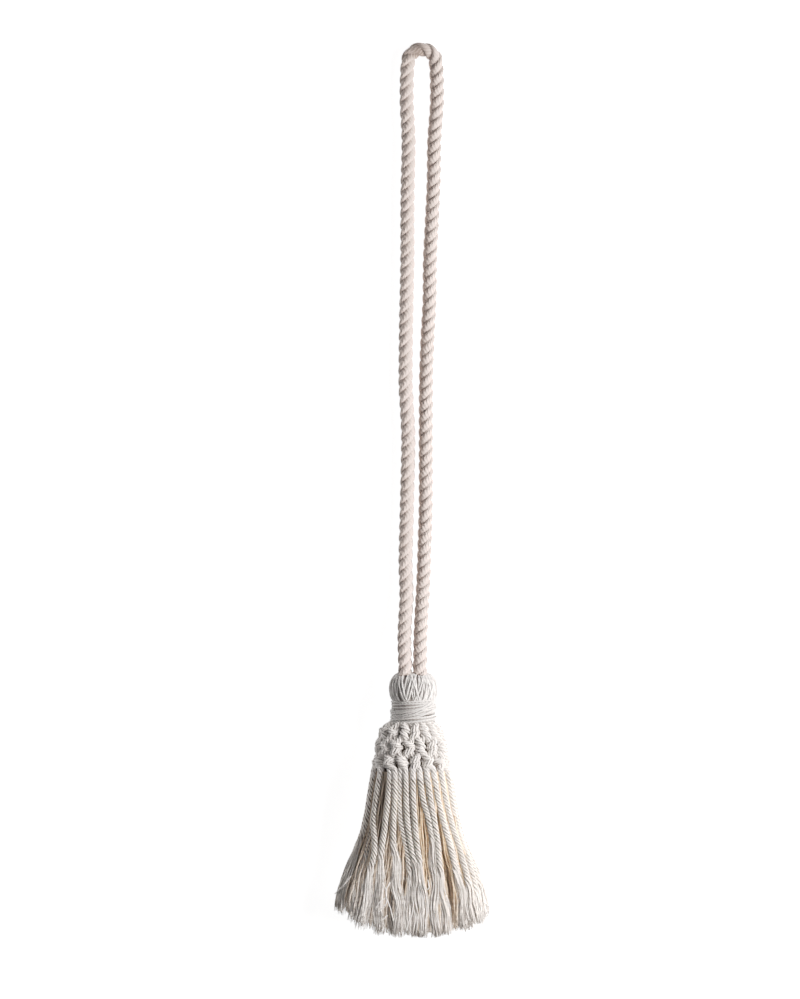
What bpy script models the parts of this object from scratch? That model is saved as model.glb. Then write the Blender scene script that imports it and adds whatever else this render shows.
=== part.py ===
"""Curtain tieback tassel, in metres.

A loop of three-strand rope goes into a head of yarn. A whipping binds the neck below the head, and a collar
of knotted cords goes round the bundle of yarn below the neck. The collar's cords hang on as the outer fringe,
over the bundle's own loose locks. The tassel lies on its back with its rope laid out: +Y runs from the hem up
to the loop, +X to the right and +Z up. The origin is on the surface, under the middle of the tassel without
its rope.
"""

import math

import bmesh
import bpy
import numpy as np
from mathutils import Vector

# Fits
GAP = 0.0003  # between pieces that touch
BUNDLE_CLEARANCE = 0.00045  # from the bundle to what is wound or knotted round it

# Rope loop
ROPE_RADIUS = 0.0049
ROPE_VALLEY = 0.64  # depth of the seam between two strands, as a share of the radius
ROPE_SHOULDER_DEG = 27.0  # half the width of a strand's outer side
ROPE_STRANDS = 3
ROPE_LAY = 0.022  # length of one whole turn of a strand
RINGS_PER_LAY = 6

# Head and neck
HEAD_TOP_Y = 0.088
NECK_RADIUS = 0.0122
HEAD_SHOULDER_Y = 0.0699
AXIS_HEIGHT = 0.0155  # of the head and the neck above the surface
HEAD_STRING_DEPTH = 0.0005  # of the valleys between the head's strings

# Whipping
WHIPPING_TOP_Y = 0.0693
WHIPPING_BOTTOM_Y = 0.0540
WHIPPING_RADIUS = 0.01515
WHIPPING_TURNS = 9
WHIPPING_VALLEY = 0.0006

# Collar
COLLAR_TOP_Y = WHIPPING_BOTTOM_Y - GAP
COLLAR_BOTTOM_Y = 0.0201
KNOT_ROWS = 3
KNOTS_PER_ROW = 15
COLUMNS_PER_KNOT = 6
LINES_PER_ROW = 3
KNOT_RELIEF = 0.0021
KNOT_LEAN = 0.8  # how far a knot's ridges slant over one row, in knots
RIM_DEPTH = 0.0012

# Fringe
HEM_Y = -HEAD_TOP_Y
HEM_RISE = 0.0195  # how much higher the hem is at the sides
HEM_HALF_WIDTH = 0.050
CORD_COUNT = 30
CORD_HALF_SIDE = 0.0015
CORD_CENTRE_DEPTH = 0.00215  # under the skirt's outline
CORD_ROOT_LENGTH = 0.0016  # from the collar to the cord's full section
CORD_STEP = 0.003
CORD_STEP_DEG = 60.0
CORD_STEP_CHOICES = (12, 15, 15)  # how many steps a cord keeps its twist for
LOCKS_PER_CORD = 3
LOCK_SPLIT = (0.30, 0.05, 0.30, 0.05, 0.30)  # shares of a cord's end: its locks and the slits between them
OUTER_LOCK_DEPTH = 0.0019
LOCK_HALF_THICKNESS = 0.0016
LOCK_FILL = 0.42  # half a lock's width, as a share of its lane
LOCK_MOST_HALF_WIDTH = 0.0026
MOST_PINCH = 0.6
LOCK_END_SIZE = 0.75
CORD_LOCK_LEVELS = (-0.0285, -0.0560)
BUNDLE_LOCK_LEVELS = (0.0165, -0.0080, -0.0360)
BUNDLE_COLUMNS = 60

# Outlines of flattened round sections, from the hem up.
# Columns: y, half width, half height, height of the middle.
SKIRT = np.array([
    (-0.0880, 0.0510, 0.0155, 0.0155),
    (-0.0700, 0.0506, 0.0157, 0.0157),
    (-0.0580, 0.0496, 0.0160, 0.0160),
    (-0.0450, 0.0456, 0.0166, 0.0166),
    (-0.0320, 0.0396, 0.0174, 0.0174),
    (-0.0185, 0.0345, 0.0183, 0.0183),
    (-0.0050, 0.0316, 0.0192, 0.0192),
    (0.0080, 0.0296, 0.0198, 0.0198),
    (0.0201, 0.0275, 0.0201, 0.0201),
])
COLLAR = np.array([
    (0.0201, 0.0270, 0.0211, 0.0191),
    (0.0280, 0.0250, 0.0208, 0.0188),
    (0.0360, 0.0238, 0.0202, 0.0182),
    (0.0450, 0.0214, 0.0191, 0.0171),
    (0.0537, 0.0182, 0.0177, 0.0157),
])
BUNDLE = np.array([
    (0.0205, 0.0210, 0.0140, 0.0198),
    (0.0534, NECK_RADIUS, NECK_RADIUS, AXIS_HEIGHT),
    (0.0696, NECK_RADIUS, NECK_RADIUS, AXIS_HEIGHT),
    (HEAD_SHOULDER_Y, 0.0152, 0.0152, AXIS_HEIGHT),
    (0.0740, 0.0156, 0.0154, AXIS_HEIGHT),
    (0.0785, 0.0158, 0.0155, AXIS_HEIGHT),
    (0.0823, 0.0149, 0.0148, AXIS_HEIGHT),
    (0.0850, 0.0136, 0.0136, AXIS_HEIGHT),
    (0.0868, 0.0123, 0.0123, AXIS_HEIGHT),
    (HEAD_TOP_Y, 0.0110, 0.0110, AXIS_HEIGHT),
])

# The bundle's rings of locks. root: depths of the root's two sides under the bundle's outline. top and hem:
# depths of a lock's middle under the skirt's outline at its first level and at the hem. columns: first and end
# column with a lock. every: the columns from one lock to the next.
LOCK_RINGS = (
    {"root": (0.0004, 0.0038), "top": 0.0083, "hem": 0.0062, "every": 2, "columns": (0, 60)},
    {"root": (0.0046, 0.0078), "top": 0.0124, "hem": 0.0104, "every": 3, "columns": (0, 60)},
    {"root": (0.0086, 0.0118), "top": 0.0164, "hem": 0.0155, "every": 4, "columns": (3, 28)},
)

# The rope's route, out of the head's top on the left, round the loop and back in on the right.
ROPE_ROUTE = [
    (-0.0044, 0.0883, 0.0155),
    (-0.0044, 0.0980, 0.0151),
    (-0.0047, 0.1088, 0.0132),
    (-0.0042, 0.1222, 0.0098),
    (-0.0034, 0.1356, 0.0070),
    (-0.0036, 0.1490, 0.0054),
    (-0.0040, 0.1624, 0.0050),
    (-0.0030, 0.2026, 0.0050),
    (-0.0022, 0.2427, 0.0050),
    (-0.0034, 0.2695, 0.0050),
    (-0.0040, 0.2829, 0.0050),
    (-0.0036, 0.3230, 0.0050),
    (-0.0028, 0.3630, 0.0050),
    (-0.0027, 0.4030, 0.0050),
    (-0.0020, 0.4436, 0.0050),
    (-0.0032, 0.4704, 0.0050),
    (-0.0025, 0.4950, 0.0050),
    (0.0002, 0.5024, 0.0050),
    (0.0069, 0.5051, 0.0050),
    (0.0137, 0.5024, 0.0050),
    (0.0164, 0.4955, 0.0050),
    (0.0171, 0.4704, 0.0050),
    (0.0153, 0.4436, 0.0050),
    (0.0149, 0.4168, 0.0050),
    (0.0137, 0.3900, 0.0050),
    (0.0124, 0.3630, 0.0050),
    (0.0121, 0.3365, 0.0050),
    (0.0107, 0.3097, 0.0050),
    (0.0098, 0.2829, 0.0050),
    (0.0096, 0.2427, 0.0050),
    (0.0096, 0.2026, 0.0050),
    (0.0089, 0.1758, 0.0050),
    (0.0080, 0.1490, 0.0054),
    (0.0073, 0.1356, 0.0070),
    (0.0065, 0.1222, 0.0098),
    (0.0059, 0.1088, 0.0132),
    (0.0059, 0.0980, 0.0151),
    (0.0059, 0.0883, 0.0155),
]


# Cross-sections

def section_size(table, y, depth):
    """Half the straight run, end radius and middle's height of a section, `depth` inside its outline."""
    half_width, half_height, middle = (np.interp(y, table[:, 0], column) for column in table[:, 1:].T)
    return half_width - half_height, half_height - depth, middle


def lane_width(table, y, depth, count):
    """The width of one of `count` equal lanes round a section."""
    straight, radius, _ = section_size(table, y, depth)
    return (4 * straight + 2 * math.pi * radius) / count


def around(table, y, depth, fractions):
    """Points (x, z) and outward angles at fractions of the way round a section, from +X over the top.

    A section is two half circles joined by straight runs, so a section `depth` inside it keeps that distance.
    """
    straight, radius, middle = section_size(table, y, depth)
    turn = np.linspace(0, 2 * math.pi, 721)
    x = straight * np.where(np.abs(turn - math.pi) >= math.pi / 2, 1, -1) + radius * np.cos(turn)
    z = middle + radius * np.sin(turn)
    walked = np.concatenate([[0], np.cumsum(np.hypot(np.diff(x), np.diff(z)))])
    at = np.asarray(fractions) % 1 * walked[-1]
    return np.interp(at, walked, x), np.interp(at, walked, z), np.interp(at, walked, turn)


# Mesh building

def add_ring(bm, table, y, depths):
    """A ring of vertices round a section, one for each depth, none of them under the surface."""
    count = len(depths)
    ring = []
    for i, depth in enumerate(depths):
        x, z, _ = around(table, y, depth, i / count)
        ring.append(bm.verts.new((float(x), y, max(0.0, float(z)))))
    return ring


def join_rings(bm, ring_a, ring_b):
    """The band of faces between two rings; face i lies between columns i and i + 1."""
    band = []
    for i in range(len(ring_a)):
        after = (i + 1) % len(ring_a)
        band.append(bm.faces.new((ring_a[i], ring_a[after], ring_b[after], ring_b[i])))
    return band


def lane_axes(table, y, depth, fraction):
    """The middle of a strand at y in its lane, and its directions across the lane and outward."""
    x, z, turn = (float(value) for value in around(table, y, depth, fraction))
    outward = Vector((math.cos(turn), 0, math.sin(turn)))
    return Vector((x, y, z)), Vector((-outward.z, 0, outward.x)), outward


def corner_signs(face, across, outward):
    """Which corner of a rectangle in the lane, (across, outward), each corner of a face goes to."""
    face.normal_update()
    corners = [(-1.0, -1.0), (1.0, -1.0), (1.0, 1.0), (-1.0, 1.0)]
    if face.normal.dot(across.cross(outward)) < 0:
        corners.reverse()
    middle = face.calc_center_median()
    offsets = [vert.co - middle for vert in face.verts]

    def fit(order):
        return sum(o.dot(across * a + outward * b) for o, (a, b) in zip(offsets, order))

    return max((corners[i:] + corners[:i] for i in range(4)), key=fit)


def extrude_to(bm, face, signs, axes, half_across, half_thick, twist=0.0):
    """One more step of a strand: the face, extruded to a rectangle in its lane, turned by `twist` radians."""
    middle, across, outward = axes
    side = across * math.cos(twist) + outward * math.sin(twist)
    out = outward * math.cos(twist) - across * math.sin(twist)
    face = bmesh.ops.extrude_discrete_faces(bm, faces=[face])["faces"][0]
    for vert, (sign_across, sign_out) in zip(face.verts, signs):
        vert.co = middle + side * (sign_across * half_across) + out * (sign_out * half_thick)
    return face


def hem_height(x):
    """The hem's arc: lowest in the middle, higher towards the sides."""
    return HEM_Y + HEM_RISE * min(1.0, abs(x) / HEM_HALF_WIDTH) ** 2.5


def grow_lock(bm, face, levels, depths, fraction, count, shortening):
    """A lock of yarn in one of `count` lanes, from a face through the levels and straight on to its end.

    Neighbours bend at the same levels, so that they stay clear of each other. `depths` are those of the
    lock's middle under the skirt's outline, at the first level and at the hem.
    """
    def place(y):
        depth = np.interp(y, (HEM_Y, levels[0]), depths[::-1])
        axes = lane_axes(SKIRT, y, depth, fraction)
        # On a bend the inner side of a lane is the narrower one.
        radius = max(section_size(SKIRT, y, depth)[1], LOCK_HALF_THICKNESS)
        pinch = min(1, 3 * abs(axes[2].x)) * min(MOST_PINCH, LOCK_HALF_THICKNESS / radius)
        half_across = LOCK_FILL * lane_width(SKIRT, y, depth, count) * (1 - pinch)
        return axes, min(half_across, LOCK_MOST_HALF_WIDTH)

    signs = corner_signs(face, *place(levels[0])[0][1:])
    for y in levels:
        axes, half_across = place(y)
        face = extrude_to(bm, face, signs, axes, half_across, LOCK_HALF_THICKNESS)
    hem_axes, _ = place(HEM_Y)
    end_y = hem_height(hem_axes[0].x) + shortening
    share = (levels[-1] - end_y) / (levels[-1] - HEM_Y)
    end_axes = [axis.lerp(hem_axis, share) for axis, hem_axis in zip(axes, hem_axes)]
    extrude_to(bm, face, signs, end_axes, LOCK_END_SIZE * half_across, LOCK_END_SIZE * LOCK_HALF_THICKNESS)


def split_across(face, signs, shares):
    """Cut a four-sided face into side-by-side strips, from its -across side to its +across side."""
    corners = dict(zip(signs, face.verts))
    cuts = []
    for sign_out in (-1.0, 1.0):
        start, end = corners[(-1.0, sign_out)], corners[(1.0, sign_out)]
        left = sum(shares)
        row = []
        for share in shares[:-1]:
            edge = next(e for e in start.link_edges if e.other_vert(start) == end)
            _, start = bmesh.utils.edge_split(edge, start, share / left)
            left -= share
            row.append(start)
        cuts.append(row)
    strips = []
    for low, high in zip(*cuts):
        strip, _ = bmesh.utils.face_split(face, low, high)
        if corners[(1.0, 1.0)] in strip.verts:
            face, strip = strip, face
        strips.append(strip)
    return strips + [face]


def finish(bm, name, color, roughness):
    """The built mesh as a named object."""
    bmesh.ops.recalc_face_normals(bm, faces=bm.faces)
    mesh = bpy.data.meshes.new(name)
    bm.to_mesh(mesh)
    bm.free()
    add_object(name, mesh, color, roughness)


def add_object(name, data, color, roughness):
    """A named object with its own material, in the tassel's collection."""
    material = bpy.data.materials.new(name + "_yarn")
    material.use_nodes = True
    shader = material.node_tree.nodes["Principled BSDF"]
    shader.inputs["Base Color"].default_value = (*color, 1)
    shader.inputs["Roughness"].default_value = roughness
    shader.inputs["Metallic"].default_value = 0
    data.materials.append(material)
    new_object = bpy.data.objects.new(name, data)
    tassel.objects.link(new_object)
    return new_object


# Rope loop

def smooth_route(route, spacing):
    """Evenly spaced points along a Catmull-Rom curve through the route's points."""
    points = np.array(route)
    points = np.vstack([2 * points[0] - points[1], points, 2 * points[-1] - points[-2]])
    t = np.linspace(0, 1, 24, endpoint=False)[:, None]
    stretches = []
    for before, start, end, after in zip(points, points[1:], points[2:], points[3:]):
        stretches.append(0.5 * (2 * start + (end - before) * t
                                + (2 * before - 5 * start + 4 * end - after) * t ** 2
                                + (3 * start - before - 3 * end + after) * t ** 3))
    curve = np.vstack(stretches + [points[-2:-1]])
    walked = np.concatenate([[0], np.cumsum(np.linalg.norm(np.diff(curve, axis=0), axis=1))])
    at = np.linspace(0, walked[-1], round(walked[-1] / spacing) + 1)
    return np.column_stack([np.interp(at, walked, column) for column in curve.T])


def add_poly_spline(curve, points, closed=False):
    spline = curve.splines.new("POLY")
    spline.points.add(len(points) - 1)
    for point, place in zip(spline.points, points):
        point.co = (*place, 1)
    spline.use_cyclic_u = closed
    return spline


def add_rope_loop():
    """Three strands laid together, swept along the route with one turn a lay."""
    section = bpy.data.curves.new("rope_section", "CURVE")
    shoulder = math.radians(ROPE_SHOULDER_DEG)
    seam = math.pi / ROPE_STRANDS
    strand_outline = [
        (-shoulder, ROPE_RADIUS),
        (shoulder, ROPE_RADIUS),
        (seam, ROPE_VALLEY * ROPE_RADIUS),
    ]
    outline = []
    for strand in range(ROPE_STRANDS):
        middle = 2 * math.pi * strand / ROPE_STRANDS
        for turn, radius in strand_outline:
            outline.append((radius * math.cos(middle + turn), radius * math.sin(middle + turn), 0))
    add_poly_spline(section, outline[::-1], closed=True)
    guide = bpy.data.objects.new("rope_section", section)
    guide.hide_render = True
    guide.display_type = "WIRE"
    guides.objects.link(guide)

    rope = bpy.data.curves.new("rope_loop", "CURVE")
    rope.dimensions = "3D"
    rope.twist_mode = "Z_UP"
    rope.bevel_mode = "OBJECT"
    rope.bevel_object = guide
    rope.use_fill_caps = True
    spline = add_poly_spline(rope, smooth_route(ROPE_ROUTE, ROPE_LAY / RINGS_PER_LAY))
    for i, point in enumerate(spline.points):
        point.tilt = 2 * math.pi * i / RINGS_PER_LAY
    add_object("rope_loop", rope, (0.66, 0.58, 0.53), 0.85)


# Neck whipping

def add_neck_whipping():
    """The plied cord wound round the neck, as a turned ring with one ridge for each turn."""
    inner = NECK_RADIUS + BUNDLE_CLEARANCE
    pitch = (WHIPPING_TOP_Y - WHIPPING_BOTTOM_Y) / WHIPPING_TURNS
    profile = [(inner, WHIPPING_BOTTOM_Y), (inner, WHIPPING_TOP_Y)]
    profile.append((WHIPPING_RADIUS - WHIPPING_VALLEY, WHIPPING_TOP_Y))
    for turn in range(WHIPPING_TURNS):
        top = WHIPPING_TOP_Y - turn * pitch
        profile.append((WHIPPING_RADIUS, top - pitch / 2))
        profile.append((WHIPPING_RADIUS - WHIPPING_VALLEY, top - pitch))
    edges = [(i, (i + 1) % len(profile)) for i in range(len(profile))]
    mesh = bpy.data.meshes.new("neck_whipping")
    mesh.from_pydata([(radius, y, 0) for radius, y in profile[::-1]], edges, [])
    ring = add_object("neck_whipping", mesh, (0.64, 0.62, 0.60), 0.8)
    ring.location.z = AXIS_HEIGHT
    turned = ring.modifiers.new("turned", "SCREW")
    turned.axis = "Y"
    turned.steps = turned.render_steps = 30
    turned.use_merge_vertices = True
    turned.merge_threshold = 0.00001
    turned.use_normal_calculate = True


# Yarn bundle

def add_yarn_bundle():
    """The head's dome of strings, the neck, the core inside the collar and the loose locks below it."""
    bm = bmesh.new()
    head_lines = sum(BUNDLE[:, 0] >= HEAD_SHOULDER_Y)
    rings = []
    for line, y in enumerate(BUNDLE[::-1, 0]):
        valley = HEAD_STRING_DEPTH if 0 < line < head_lines else 0.0
        rings.append(add_ring(bm, BUNDLE, y, [valley * (i % 2) for i in range(BUNDLE_COLUMNS)]))
    bm.faces.new(rings[0])
    for upper, lower in zip(rings, rings[1:]):
        join_rings(bm, upper, lower)

    root_y = BUNDLE[0, 0]
    roots = []
    edge = rings[-1]
    for lock_ring in LOCK_RINGS:
        for depth in lock_ring["root"]:
            inner = add_ring(bm, BUNDLE, root_y, [depth] * BUNDLE_COLUMNS)
            band = join_rings(bm, edge, inner)
            edge = inner
        roots.append(band)
    bm.faces.new(edge)
    bmesh.ops.recalc_face_normals(bm, faces=bm.faces)

    for lock_ring, band in zip(LOCK_RINGS, roots):
        count = BUNDLE_COLUMNS // lock_ring["every"]
        for column in range(*lock_ring["columns"], lock_ring["every"]):
            fraction = (column + 0.5) / BUNDLE_COLUMNS
            shortening = rng.uniform(0.002, 0.010)
            depths = (lock_ring["top"], lock_ring["hem"])
            grow_lock(bm, band[column], BUNDLE_LOCK_LEVELS, depths, fraction, count, shortening)
    finish(bm, "yarn_bundle", (0.72, 0.66, 0.60), 0.9)


# Knotted collar

def knot_depth(column, row, down):
    """How far the collar's surface lies under its outline: rows of leaning knots, each with two ridges.

    `down` runs from 0 at a row's top to 1 at its foot. Each second row is shifted by half a knot.
    """
    phase = 2 * math.pi * (column / COLUMNS_PER_KNOT + 0.5 * row + KNOT_LEAN * down)
    ridges = 0.3 * (1 - math.cos(phase)) + 0.2 * (1 - math.cos(2 * phase))
    bulge = 0.25 + 0.75 * math.sin(math.pi * down) ** 0.5
    return KNOT_RELIEF * (1 - ridges * bulge)


def add_knotted_collar():
    """The ring of knots, and its thirty cords, which come unlaid into three locks each."""
    bm = bmesh.new()
    columns = KNOTS_PER_ROW * COLUMNS_PER_KNOT
    lines = KNOT_ROWS * LINES_PER_ROW
    rim_depths = [RIM_DEPTH] * columns
    rings = [add_ring(bm, COLLAR, COLLAR_TOP_Y, rim_depths)]
    for line in range(1, lines):
        row, step = divmod(line, LINES_PER_ROW)
        y = COLLAR_TOP_Y + (COLLAR_BOTTOM_Y - COLLAR_TOP_Y) * line / lines
        depths = [knot_depth(i, row, step / LINES_PER_ROW) for i in range(columns)]
        rings.append(add_ring(bm, COLLAR, y, depths))
    rings.append(add_ring(bm, COLLAR, COLLAR_BOTTOM_Y, rim_depths))
    for y in (COLLAR_BOTTOM_Y, COLLAR_TOP_Y):
        rings.append(add_ring(bm, BUNDLE, y, [-BUNDLE_CLEARANCE] * columns))
    bands = [join_rings(bm, upper, lower) for upper, lower in zip(rings, rings[1:] + rings[:1])]
    underside = bands[lines]
    bmesh.ops.recalc_face_normals(bm, faces=bm.faces)

    columns_per_cord = columns // CORD_COUNT
    for cord in range(CORD_COUNT):
        column = cord * columns_per_cord + columns_per_cord // 2
        fraction = (column + 0.5) / columns
        face = underside[column]
        steps = rng.choice(CORD_STEP_CHOICES)
        axes = lane_axes(SKIRT, COLLAR_BOTTOM_Y, CORD_CENTRE_DEPTH, fraction)
        signs = corner_signs(face, *axes[1:])
        for step in range(steps + 1):
            y = COLLAR_BOTTOM_Y - CORD_ROOT_LENGTH - step * CORD_STEP
            axes = lane_axes(SKIRT, y, CORD_CENTRE_DEPTH, fraction)
            twist = math.radians(step * CORD_STEP_DEG)
            face = extrude_to(bm, face, signs, axes, CORD_HALF_SIDE, CORD_HALF_SIDE, twist)
        signs = corner_signs(face, *axes[1:])
        locks = split_across(face, signs, LOCK_SPLIT)[::2]
        for i, lock in enumerate(locks):
            lane = fraction + (i - (LOCKS_PER_CORD - 1) / 2) / (CORD_COUNT * LOCKS_PER_CORD)
            shortening = rng.uniform(0.0, 0.005)
            depths = (OUTER_LOCK_DEPTH, OUTER_LOCK_DEPTH)
            grow_lock(bm, lock, CORD_LOCK_LEVELS, depths, lane, CORD_COUNT * LOCKS_PER_CORD, shortening)
    finish(bm, "knotted_collar", (0.68, 0.62, 0.57), 0.9)


for old_object in list(bpy.data.objects):
    bpy.data.objects.remove(old_object, do_unlink=True)
tassel = bpy.data.collections.new("curtain_tieback_tassel")
guides = bpy.data.collections.new("guides")
for collection in (tassel, guides):
    bpy.context.scene.collection.children.link(collection)
rng = np.random.default_rng(17)

add_rope_loop()
add_neck_whipping()
add_yarn_bundle()
add_knotted_collar()
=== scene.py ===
import math

import bpy
import numpy as np
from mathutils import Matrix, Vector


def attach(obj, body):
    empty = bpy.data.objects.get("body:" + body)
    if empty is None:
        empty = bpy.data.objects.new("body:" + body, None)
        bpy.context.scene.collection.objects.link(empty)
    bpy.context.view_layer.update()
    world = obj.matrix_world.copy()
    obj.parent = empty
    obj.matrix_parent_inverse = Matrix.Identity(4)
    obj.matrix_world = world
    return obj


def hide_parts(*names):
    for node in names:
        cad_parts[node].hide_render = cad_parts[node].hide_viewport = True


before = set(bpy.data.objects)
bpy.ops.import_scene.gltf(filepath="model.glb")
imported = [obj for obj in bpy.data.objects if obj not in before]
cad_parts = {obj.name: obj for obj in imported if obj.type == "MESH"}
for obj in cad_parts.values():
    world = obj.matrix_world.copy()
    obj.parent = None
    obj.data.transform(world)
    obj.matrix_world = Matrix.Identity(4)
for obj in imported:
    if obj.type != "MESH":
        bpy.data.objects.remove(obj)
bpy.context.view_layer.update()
rng = np.random.default_rng(29)


# The table, the lamps and the camera. The tassel lies on a plain white board that glows a little. A long soft
# lamp stands close by on the right, a weak one hangs high above, and a pale sky fills the shadows. The camera
# is far above and looks straight down, with the loop at the top.

class Wire:
    """One output of a node in a material. Signs written between wires and numbers add Math nodes."""

    def __init__(self, tree, socket=None):
        self.tree, self.socket = tree, socket

    def node(self, kind, settings, sockets, output=0):
        """Any node, from its type, its settings and then the values or wires of its sockets."""
        made = self.tree.nodes.new(kind)
        for setting, value in settings.items():
            setattr(made, setting, value)
        for place, value in sockets.items():
            if isinstance(value, Wire):
                self.tree.links.new(value.socket, made.inputs[place])
            else:
                made.inputs[place].default_value = value
        return Wire(self.tree, made.outputs[output])

    def maths(self, operation, *values):
        return self.node("ShaderNodeMath", {"operation": operation}, dict(enumerate(values)))

    def __add__(self, other):
        return self.maths("ADD", self, other)

    def __sub__(self, other):
        return self.maths("SUBTRACT", self, other)

    def __rsub__(self, other):
        return self.maths("SUBTRACT", other, self)

    def __mul__(self, other):
        return self.maths("MULTIPLY", self, other)

    __radd__ = __add__
    __rmul__ = __mul__

    def sine(self):
        return self.maths("SINE", self)

    def cosine(self):
        return self.maths("COSINE", self)

    def mixed(self, low, high):
        """A colour from low to high, as this value goes from 0 to 1."""
        return self.node("ShaderNodeMix", {"data_type": "RGBA"}, {0: self, 6: low, 7: high}, output=2)


def new_finish(name):
    """An empty material and the wire that its nodes start from."""
    material = bpy.data.materials.new(name)
    material.use_nodes = True
    tree = material.node_tree
    tree.nodes.remove(tree.nodes["Principled BSDF"])
    return material, Wire(tree)


def coat_with(material, shader):
    material.node_tree.links.new(shader.socket, material.node_tree.nodes["Material Output"].inputs["Surface"])


BOARD_HALF = 4.0
BOARD_GLOW = 1.36
board_finish, start = new_finish("white_board")
coat_with(board_finish, start.node("ShaderNodeBsdfPrincipled", {}, {
    "Base Color": (0.72, 0.72, 0.72, 1), "Roughness": 0.9, "Specular IOR Level": 0.2,
    "Emission Color": (1, 1, 1, 1), "Emission Strength": BOARD_GLOW,
}))
board_mesh = bpy.data.meshes.new("white_board")
corners = BOARD_HALF * np.array([(-1, -1, 0), (1, -1, 0), (1, 1, 0), (-1, 1, 0)])
board_mesh.from_pydata(corners.tolist(), [], [(0, 1, 2, 3)])
board_mesh.materials.append(board_finish)
board = bpy.data.objects.new("white_board", board_mesh)
bpy.context.scene.collection.objects.link(board)

SKY_COLOUR, SKY_STRENGTH = (0.97, 0.985, 1, 1), 0.14
sky = bpy.data.worlds.new("pale_sky")
sky.use_nodes = True
sky.node_tree.nodes["Background"].inputs["Color"].default_value = SKY_COLOUR
sky.node_tree.nodes["Background"].inputs["Strength"].default_value = SKY_STRENGTH
bpy.context.scene.world = sky

LAMP_COLOUR = (1.0, 0.965, 0.94)
LAMPS = [  # name, place, what it points at, width, length, watts
    ("side_lamp", (0.57, 0.16, 0.39), (0.0, 0.16, 0.0), 0.80, 0.32, 13.3),
    ("top_lamp", (0.1, 0.6, 2.4), (0.0, 0.1, 0.0), 1.2, 1.2, 6.0),
]
for name, place, aim, width, length, watts in LAMPS:
    lamp = bpy.data.lights.new(name, "AREA")
    lamp.shape = "RECTANGLE"
    lamp.size, lamp.size_y = width, length
    lamp.energy = watts
    lamp.color = LAMP_COLOUR
    lamp_object = bpy.data.objects.new(name, lamp)
    lamp_object.location = place
    lamp_object.rotation_euler = (Vector(place) - Vector(aim)).to_track_quat("Z", "Y").to_euler()
    bpy.context.scene.collection.objects.link(lamp_object)

VIEW_LENGTH = 0.6689  # how much of the table the camera sees from top to bottom
VIEW_MIDDLE = (-0.0077, 0.2029)
FOCUS_HEIGHT = 0.015
CAMERA_DISTANCE = 4.0
HELD_BACK_FROM, HELD_BACK_WHITE = 0.5, 0.76  # light above the first is held back, so that 1 is the second
camera_data = bpy.data.cameras.new("camera")
camera_data.sensor_width = 36.0
camera_data.lens = camera_data.sensor_width * CAMERA_DISTANCE / VIEW_LENGTH
camera_data.clip_start, camera_data.clip_end = 0.1, 50.0
camera = bpy.data.objects.new("camera", camera_data)
camera.location = (*VIEW_MIDDLE, FOCUS_HEIGHT + CAMERA_DISTANCE)
bpy.context.scene.collection.objects.link(camera)
bpy.context.scene.camera = camera
view = bpy.context.scene.view_settings
view.view_transform = "Standard"
view.use_curve_mapping = True
view.curve_mapping.curves[3].points[1].location = (1.0, HELD_BACK_WHITE)
view.curve_mapping.curves[3].points.new(HELD_BACK_FROM, HELD_BACK_FROM)
view.curve_mapping.extend = "EXTRAPOLATED"
view.curve_mapping.update()


# The rope loop: soft cotton rope of three strands laid right-handed. Each strand is nine yarns, twisted the
# other way, so that they run along the rope. Both ends go into the head. Shade is painted into the seams,
# most on the shaded left side, and in a patch at the loop's top, where the yarns stand open.

TENTHS = 10000  # of a millimetre, in a metre. The longer tables hold whole tenths.
ROPE_ROUTE = np.array([  # of the rope's middle, from the left end in the head round the loop to the right one
    (-41, 883, 188),
    (-44, 980, 162),
    (-47, 1088, 132),
    (-42, 1222, 98),
    (-34, 1356, 70),
    (-36, 1490, 54),
    (-40, 1624, 50),
    (-30, 2026, 50),
    (-22, 2427, 50),
    (-34, 2695, 50),
    (-40, 2829, 50),
    (-36, 3230, 50),
    (-28, 3630, 50),
    (-27, 4030, 50),
    (-20, 4436, 50),
    (-32, 4704, 50),
    (-25, 4950, 50),
    (2, 5024, 50),
    (69, 5051, 50),
    (137, 5024, 50),
    (164, 4955, 50),
    (171, 4704, 50),
    (153, 4436, 50),
    (149, 4168, 50),
    (137, 3900, 50),
    (124, 3630, 50),
    (121, 3365, 50),
    (107, 3097, 50),
    (98, 2829, 50),
    (96, 2427, 50),
    (96, 2026, 50),
    (89, 1758, 50),
    (80, 1490, 54),
    (73, 1356, 70),
    (65, 1222, 98),
    (59, 1088, 132),
    (58, 980, 162),
    (55, 883, 188),
]) / TENTHS
ROPE_INTO_HEAD = 0.004
ROPE_END_RISE = 0.0012  # on that length
ROPE_LAY = 0.0225
ROPE_FIRST_TURN = 0.6
ROPE_RING_SPACING = 0.0015
STRAND_RADIUS = 0.0030
STRAND_OFFSET = 0.0024  # of a strand's middle from the rope's
STRAND_YARNS = 9
STRAND_VALLEY = 0.11  # depth of the valley between two yarns, as a share of the strand's radius
PRESSED_FROM, PRESSED_SHARE = 0.0044, 0.57  # beyond this distance from the rope's middle strands are pressed
FILLED_FROM, FILLED_SHARE = 0.0041, 0.42  # within this one the seams between them are filled by soft yarn
STRAND_LEAN = 0.42  # turn by which a strand's crown leans over the seam below it
SEAM_FROM, SEAM_FULL = 0.0038, 0.0035  # distances from there at which a seam's painted shade begins and is full
SHADED_SEAM_SHADE, LIT_SEAM_SHADE, YARN_SEAM_SHADE = 0.85, 0.30, 0.25  # painted shade in seams on the shaded side of the rope and on its lit side, and between yarns
OPEN_BEND = 0.008  # half the length of rope at the loop's top painted darker, as shade among yarns standing apart
OPEN_BEFORE_TOP = 0.0025  # how far before the top its middle is
OPEN_BEND_SHADE, INNER_BEND_SHADE = 0.5, 0.7  # painted shade among the open yarns, and what is added on the inside of the bend
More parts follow.
